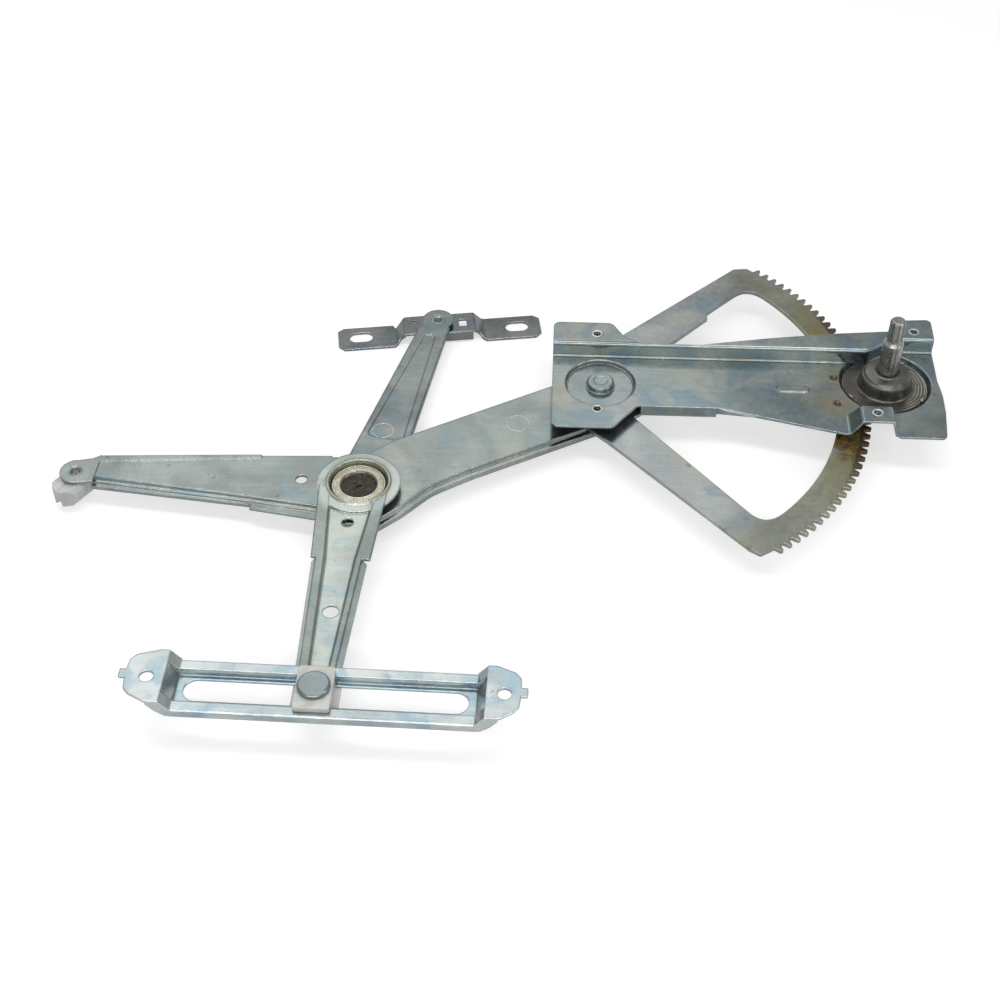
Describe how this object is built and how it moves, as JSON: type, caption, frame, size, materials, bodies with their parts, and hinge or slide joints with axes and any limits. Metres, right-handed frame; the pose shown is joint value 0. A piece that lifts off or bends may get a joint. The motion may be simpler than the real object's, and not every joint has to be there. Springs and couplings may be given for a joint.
{
  "type": "window regulator",
  "caption": "Hand-cranked scissor window regulator: a pinion turns a toothed sector, and crossed pressed arms carry the glass, guided by a slotted rail.",
  "frame": {"origin": "on the crank axis, in the plane of the base plate's mounting tabs", "axes": "+X along the base plate's channel from the main pivot to the crank, +Z along the crank shaft towards the inside of the car"},
  "size_m": [0.6136, 0.4578, 0.0896],
  "materials": {
    "plate_steel": "bright zinc, blue passivated",
    "sector_steel": "zinc, greasy near the pinion",
    "main_arm_steel": "bright zinc, blue passivated",
    "lower_arm_steel": "bright zinc, blue passivated",
    "upper_arm_steel": "bright zinc, blue passivated",
    "rail_steel": "bright zinc, light blue",
    "bracket_steel": "zinc, darker grey",
    "stud_steel": "turned, zinc plated",
    "bush_steel": "turned, greasy in the middle",
    "housing_steel": "dark phosphated, oiled",
    "shaft_steel": "dark phosphated",
    "pinion_steel": "hardened, greasy",
    "seal_rubber": "matt",
    "slider_nylon": "natural, slightly translucent",
    "shoe_nylon": "natural, slightly translucent"
  },
  "bodies": {
    "base": {"base_plate": "plate_steel", "pivot_stud": "stud_steel", "pivot_spacer": "stud_steel", "brake_housing": "housing_steel", "housing_stakes": "plate_steel", "shaft_seal": "seal_rubber"},
    "crank": {"crank_shaft": "shaft_steel", "pinion": "pinion_steel"},
    "main": {"main_arm": "main_arm_steel", "sector_gear": "sector_steel", "sector_rivets": "stud_steel", "glass_stud": "stud_steel"},
    "cross": {"cross_arm_lower": "lower_arm_steel", "cross_arm_upper": "upper_arm_steel", "centre_bush": "bush_steel", "rail_stud": "stud_steel", "bracket_rivet": "stud_steel"},
    "slider": {"rail_slider": "slider_nylon"},
    "rail": {"guide_rail": "rail_steel"},
    "bracket": {"glass_bracket": "bracket_steel"},
    "shoe": {"glass_shoe": "shoe_nylon"}
  },
  "joints": [
    {"name": "main_swing", "type": "hinge", "parent": "base", "child": "main", "pos_m": [-0.20232, -0.00848, -0.0215], "axis": [0, 0, 1], "range_deg": [-20, 52]},
    {"name": "crank_turn", "type": "hinge", "parent": "base", "child": "crank", "pos_m": [0, 0, 0], "axis": [0, 0, 1], "range_deg": [-800, 310]},
    {"name": "cross_swing", "type": "hinge", "parent": "main", "child": "cross", "pos_m": [-0.36449, -0.11203, -0.022], "axis": [0, 0, 1], "range_deg": [-105, 41]},
    {"name": "slider_swivel", "type": "hinge", "parent": "cross", "child": "slider", "pos_m": [-0.37091, -0.29612, -0.012], "axis": [0, 0, 1], "range_deg": [-45, 70]},
    {"name": "rail_travel", "type": "slide", "parent": "slider", "child": "rail", "axis": [0.9998, -0.0209, 0], "range_m": [-0.075, 0.062]},
    {"name": "bracket_swivel", "type": "hinge", "parent": "cross", "child": "bracket", "pos_m": [-0.32464, 0.08039, -0.0351], "axis": [0, 0, 1], "range_deg": [-60, 60]},
    {"name": "shoe_swivel", "type": "hinge", "parent": "main", "child": "shoe", "pos_m": [-0.55902, -0.10372, -0.025], "axis": [0, 0, 1], "range_deg": [-60, 30]}
  ],
  "couplings": [
    {"joint": "crank_turn", "follows": "main_swing", "ratio": -15.2},
    {"joint": "cross_swing", "follows": "main_swing", "ratio": -2}
  ]
}
